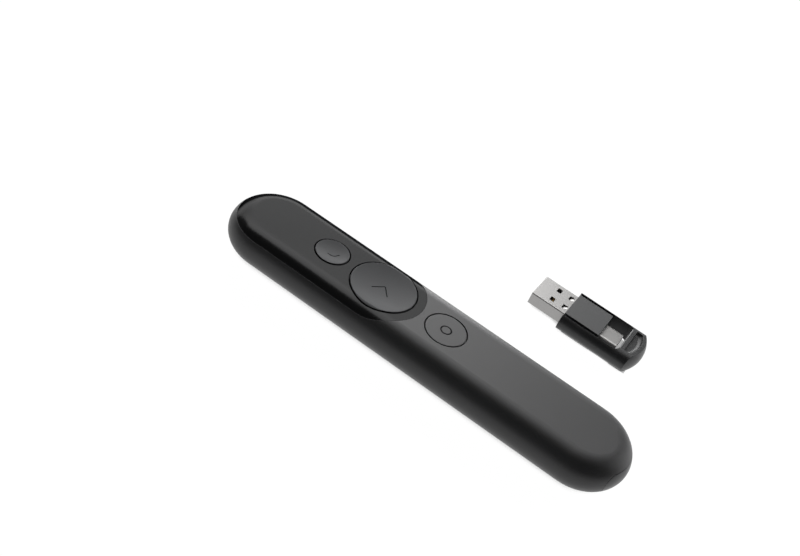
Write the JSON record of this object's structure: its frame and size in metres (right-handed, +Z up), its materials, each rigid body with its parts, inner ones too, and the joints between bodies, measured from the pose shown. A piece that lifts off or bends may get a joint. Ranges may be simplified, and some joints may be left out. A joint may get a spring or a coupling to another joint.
{
  "type": "wireless presentation clicker",
  "caption": "Slim wireless presentation clicker with dished next and back keys, a pointer key and a flip-cap USB receiver that docks in its tail.",
  "frame": {"origin": "middle of the clicker's flat underside", "axes": "+X along the clicker towards its tail and the docked receiver, +Y towards the side with the charging port, +Z up through the keys"},
  "size_m": [0.141, 0.0782, 0.0132],
  "materials": {
    "housing_plastic": "fine satin soft-touch paint over moulded ABS",
    "panel_plastic": "semi-gloss moulded polycarbonate",
    "cover_plastic": "fine matte moulded ABS",
    "button_plastic": "satin moulded plastic",
    "pointer_plastic": "fine satin soft-touch paint",
    "frame_plastic": "plain moulded glass-filled nylon",
    "steel": "zinc-plated steel",
    "board_laminate": "solder mask over glass laminate",
    "chip_epoxy": "moulded epoxy",
    "pouch_foil": "laminated pouch foil",
    "wire_insulation": "silicone wire insulation",
    "insulator_plastic": "moulded liquid-crystal polymer",
    "brass": "turned brass",
    "lens_glass": "polished lens",
    "gold_contacts": "gold-plated copper alloy",
    "window_plastic": "dark red tinted polycarbonate",
    "plunger_plastic": "moulded nylon",
    "magnet_nickel": "nickel plating",
    "plug_steel": "nickel-plated steel sheet",
    "core_plastic": "fine matte moulded plastic",
    "cap_plastic": "glossy moulded polycarbonate"
  },
  "bodies": {
    "clicker": {"housing": "housing_plastic", "head_panel": "panel_plastic", "bottom_cover": "cover_plastic", "cover_screws": "steel", "mid_frame": "frame_plastic", "frame_screws": "steel", "circuit_board": "board_laminate", "radio_chip": "chip_epoxy", "charge_chip": "chip_epoxy", "motion_chip": "chip_epoxy", "crystal": "steel", "battery_cell": "pouch_foil", "battery_leads": "wire_insulation", "charge_port_shell": "steel", "charge_port_tongue": "insulator_plastic", "laser_barrel": "brass", "laser_lens": "lens_glass", "laser_leads": "gold_contacts", "laser_window": "window_plastic", "back_switch": "insulator_plastic", "next_switch": "insulator_plastic", "pointer_switch": "insulator_plastic", "back_dome": "steel", "next_dome": "steel", "pointer_dome": "steel", "dock_sleeve": "frame_plastic", "dock_magnet": "magnet_nickel"},
    "back_key": {"back_button": "button_plastic", "back_plunger": "plunger_plastic"},
    "next_key": {"next_button": "button_plastic", "next_plunger": "plunger_plastic"},
    "pointer_key": {"pointer_button": "pointer_plastic", "pointer_plunger": "plunger_plastic"},
    "docked_receiver": {"docked_usb_a_shell": "plug_steel", "docked_usb_a_tongue": "insulator_plastic", "docked_usb_a_contacts": "gold_contacts", "docked_core": "core_plastic", "docked_board": "board_laminate", "docked_usb_c_shell": "plug_steel", "docked_usb_c_insert": "insulator_plastic", "docked_pivot_pins": "steel", "docked_cap": "cap_plastic"},
    "loose_receiver": {"loose_usb_a_shell": "plug_steel", "loose_usb_a_tongue": "insulator_plastic", "loose_usb_a_contacts": "gold_contacts", "loose_core": "core_plastic", "loose_board": "board_laminate", "loose_usb_c_shell": "plug_steel", "loose_usb_c_insert": "insulator_plastic", "loose_pivot_pins": "steel"},
    "loose_receiver_cap": {"loose_cap": "cap_plastic"}
  },
  "joints": [
    {"name": "back_press", "type": "slide", "parent": "clicker", "child": "back_key", "axis": [0, 0, -1], "range_m": [0, 0.0003], "stiffness_N_per_m": 1200, "springref_m": -0.0008, "deforming": ["back_dome"]},
    {"name": "next_press", "type": "slide", "parent": "clicker", "child": "next_key", "axis": [0, 0, -1], "range_m": [0, 0.0003], "stiffness_N_per_m": 1200, "springref_m": -0.0008, "deforming": ["next_dome"]},
    {"name": "pointer_press", "type": "slide", "parent": "clicker", "child": "pointer_key", "axis": [0, 0, -1], "range_m": [0, 0.0003], "stiffness_N_per_m": 1200, "springref_m": -0.0008, "deforming": ["pointer_dome"]},
    {"name": "receiver_undock", "type": "slide", "parent": "clicker", "child": "docked_receiver", "axis": [1, 0, 0], "range_m": [0, 0.042]},
    {"name": "receiver_lift", "type": "slide", "parent": "clicker", "child": "loose_receiver", "axis": [0, 0, 1], "range_m": [0, 0.03]},
    {"name": "cap_flip", "type": "hinge", "parent": "loose_receiver", "child": "loose_receiver_cap", "pos_m": [0.03075, 0.0536, 0.0035], "axis": [0, -1, 0], "range_deg": [0, 180]}
  ]
}
